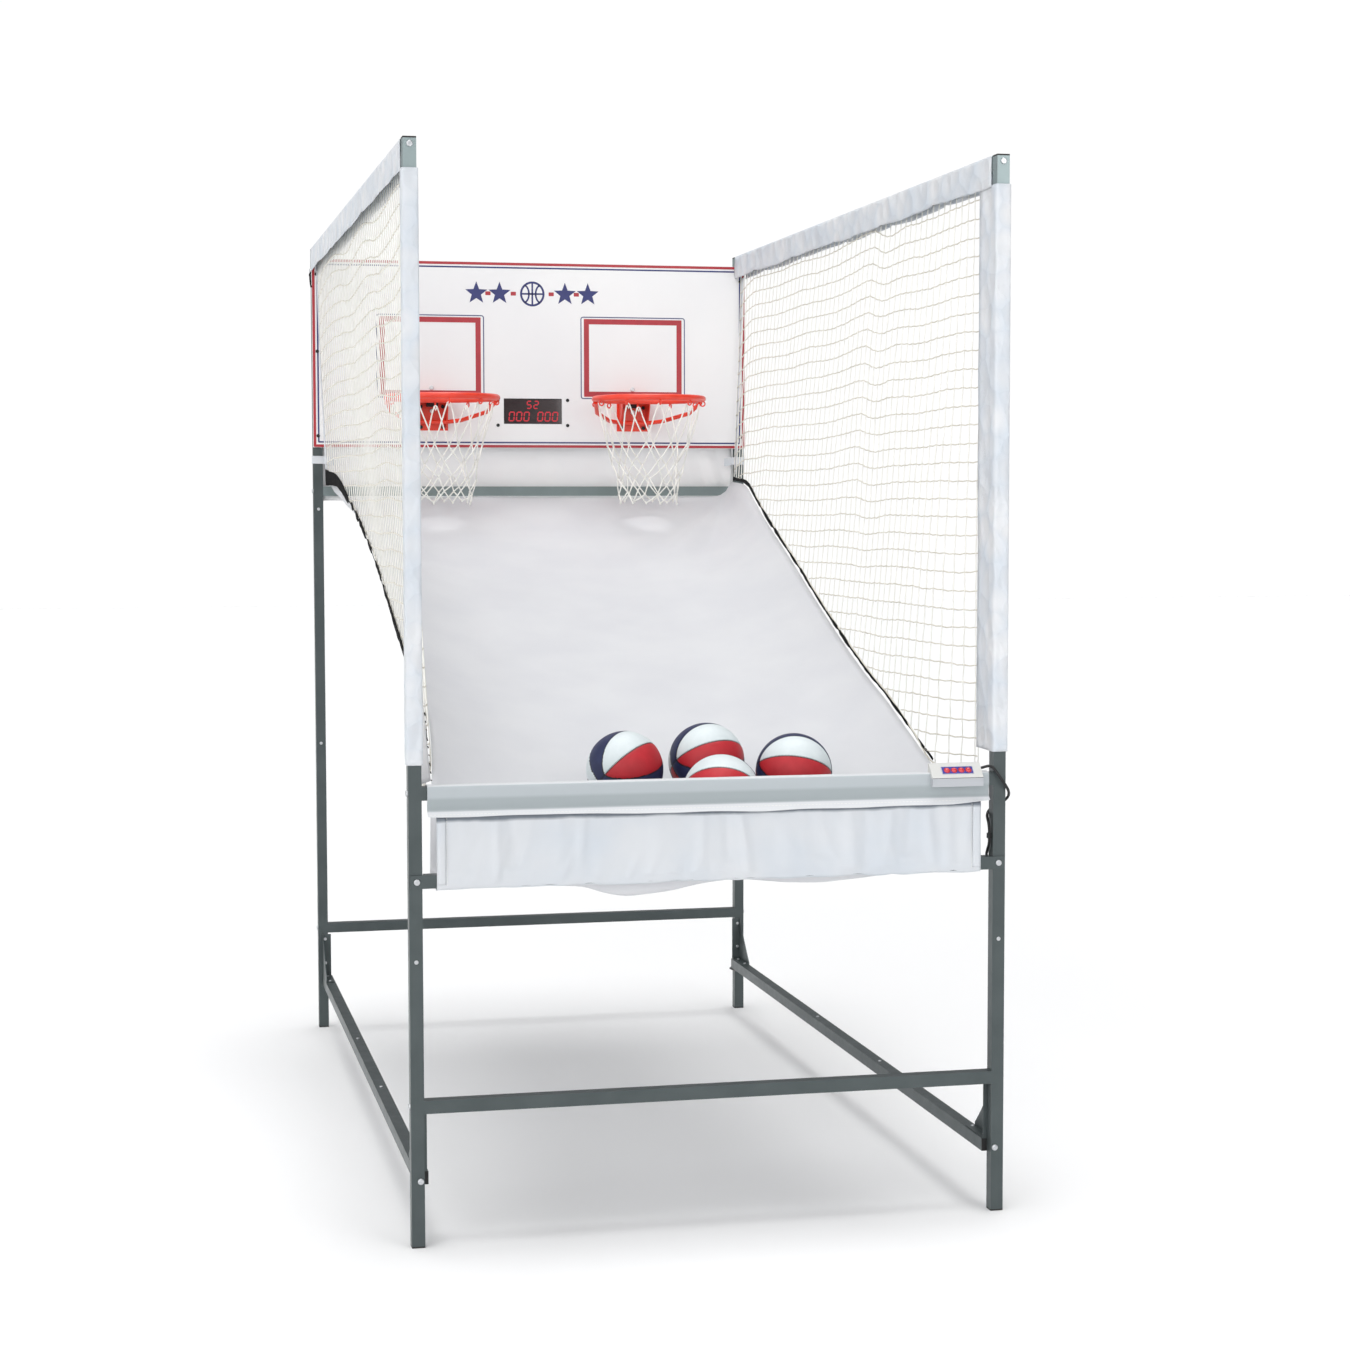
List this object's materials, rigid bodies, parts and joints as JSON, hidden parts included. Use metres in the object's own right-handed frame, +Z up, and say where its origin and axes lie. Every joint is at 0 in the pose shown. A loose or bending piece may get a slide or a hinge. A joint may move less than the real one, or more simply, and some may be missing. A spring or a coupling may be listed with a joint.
{
  "type": "basketball hoop machine",
  "caption": "Two-hoop arcade basketball machine: steel tube frame, sloping fabric ball ramp, side nets, printed backboard with score display, control box and balls.",
  "frame": {"origin": "on the floor, under the middle of the machine", "axes": "+X is the player's right, +Y points away from the player towards the backboard, +Z is up"},
  "size_m": [1.1801, 2.141, 2.0575],
  "materials": {
    "steel_tube": "satin grey powder coat",
    "zinc_fasteners": "bright zinc",
    "black_plastic": "moulded, matte",
    "black_fasteners": "black oxide",
    "white_fabric": "woven polyester",
    "net_cord": "braided cord",
    "black_band": "hook-and-loop tape",
    "printed_board": "satin printed face",
    "display_lens": "smoked, glossy",
    "circuit_board": "solder mask",
    "hoop_paint": "glossy powder coat",
    "control_box": "moulded, fine texture",
    "button_label": "printed film",
    "red_button": "moulded, glossy",
    "cable_jacket": "satin jacket",
    "ball_skin": "pebbled rubber"
  },
  "bodies": {
    "frame": {"backboard": "printed_board", "ball_ramp": "white_fabric", "bar_end_plugs": "black_plastic", "board_bolts": "black_fasteners", "cable_clips": "black_plastic", "clipped_cable": "cable_jacket", "control_box_base": "control_box", "control_box_cover": "control_box", "control_cable": "cable_jacket", "control_circuit_board": "circuit_board", "control_label": "button_label", "corner_gussets": "steel_tube", "display_circuit_board": "circuit_board", "display_housing": "black_plastic", "display_window": "display_lens", "edge_bands": "black_band", "frame_bolts": "zinc_fasteners", "front_left_post": "steel_tube", "front_panel": "white_fabric", "front_right_post": "steel_tube", "hoop_bolts": "black_fasteners", "joint_screws": "zinc_fasteners", "left_front_sleeve": "white_fabric", "left_hoop_bracket": "hoop_paint", "left_hoop_net": "net_cord", "left_lower_rail": "steel_tube", "left_rim": "hoop_paint", "left_side_net": "net_cord", "left_top_rail": "steel_tube", "left_top_sleeve": "white_fabric", "lower_front_crossbar": "steel_tube", "lower_rear_crossbar": "steel_tube", "net_straps": "white_fabric", "post_caps": "black_plastic", "rear_left_post": "steel_tube", "rear_ramp_rail": "steel_tube", "rear_right_post": "steel_tube", "rear_skirt": "white_fabric", "rear_top_rail": "steel_tube", "right_front_sleeve": "white_fabric", "right_hoop_bracket": "hoop_paint", "right_hoop_net": "net_cord", "right_lower_rail": "steel_tube", "right_rim": "hoop_paint", "right_side_net": "net_cord", "right_top_rail": "steel_tube", "right_top_sleeve": "white_fabric", "score_sensors": "black_plastic", "trough_bar_cover": "white_fabric", "trough_lower_bar": "steel_tube", "trough_top_bar": "steel_tube", "tube_couplers": "steel_tube"},
    "button_1": {"button_1": "red_button"},
    "button_2": {"button_2": "red_button"},
    "button_3": {"button_3": "red_button"},
    "button_4": {"button_4": "red_button"},
    "ball_1": {"ball_1": "ball_skin"},
    "ball_2": {"ball_2": "ball_skin"},
    "ball_3": {"ball_3": "ball_skin"},
    "ball_4": {"ball_4": "ball_skin"}
  },
  "joints": [
    {"name": "button_1_press", "type": "slide", "parent": "frame", "child": "button_1", "axis": [0, 0.7219, -0.692], "range_m": [0, 0.0012], "stiffness_N_per_m": 900},
    {"name": "button_2_press", "type": "slide", "parent": "frame", "child": "button_2", "axis": [0, 0.7219, -0.692], "range_m": [0, 0.0012], "stiffness_N_per_m": 900},
    {"name": "button_3_press", "type": "slide", "parent": "frame", "child": "button_3", "axis": [0, 0.7219, -0.692], "range_m": [0, 0.0012], "stiffness_N_per_m": 900},
    {"name": "button_4_press", "type": "slide", "parent": "frame", "child": "button_4", "axis": [0, 0.7219, -0.692], "range_m": [0, 0.0012], "stiffness_N_per_m": 900},
    {"name": "ball_1_lift", "type": "slide", "parent": "frame", "child": "ball_1", "axis": [0, 0, 1], "range_m": [0, 0.35]},
    {"name": "ball_2_lift", "type": "slide", "parent": "frame", "child": "ball_2", "axis": [0, 0, 1], "range_m": [0, 0.35]},
    {"name": "ball_3_lift", "type": "slide", "parent": "frame", "child": "ball_3", "axis": [0, 0, 1], "range_m": [0, 0.35]},
    {"name": "ball_4_lift", "type": "slide", "parent": "frame", "child": "ball_4", "axis": [0, 0, 1], "range_m": [0, 0.35]}
  ]
}
